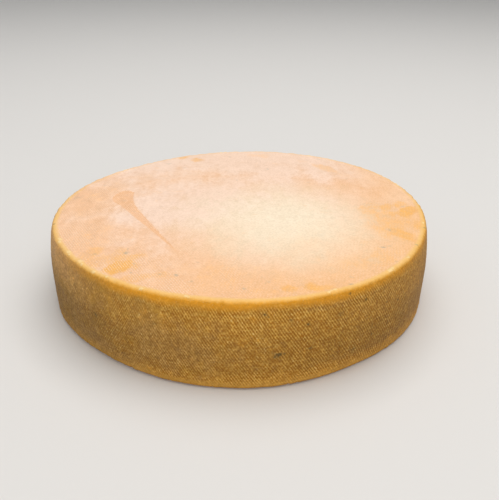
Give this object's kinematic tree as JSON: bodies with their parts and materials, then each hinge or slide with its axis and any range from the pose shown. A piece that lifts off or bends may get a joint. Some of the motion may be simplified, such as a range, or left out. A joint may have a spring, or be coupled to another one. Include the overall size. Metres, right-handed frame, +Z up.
{
  "type": "cheese wheel",
  "caption": "Whole round wheel of washed-rind mountain cheese with a nearly flat top, slightly bulged cloth-marked side and flat base.",
  "frame": {"origin": "middle of the flat underside, on the wheel's axis", "axes": "+Z up along the wheel's axis, from the underside to the top; +X and +Y lie in the underside, and -Y faces the viewer"},
  "size_m": [0.326, 0.326, 0.07],
  "materials": {
    "rind": "dry washed rind, faintly waxy on top, cloth-marked and matt on the side"
  },
  "bodies": {
    "root": {"cheese_wheel": "rind"}
  },
  "joints": []
}
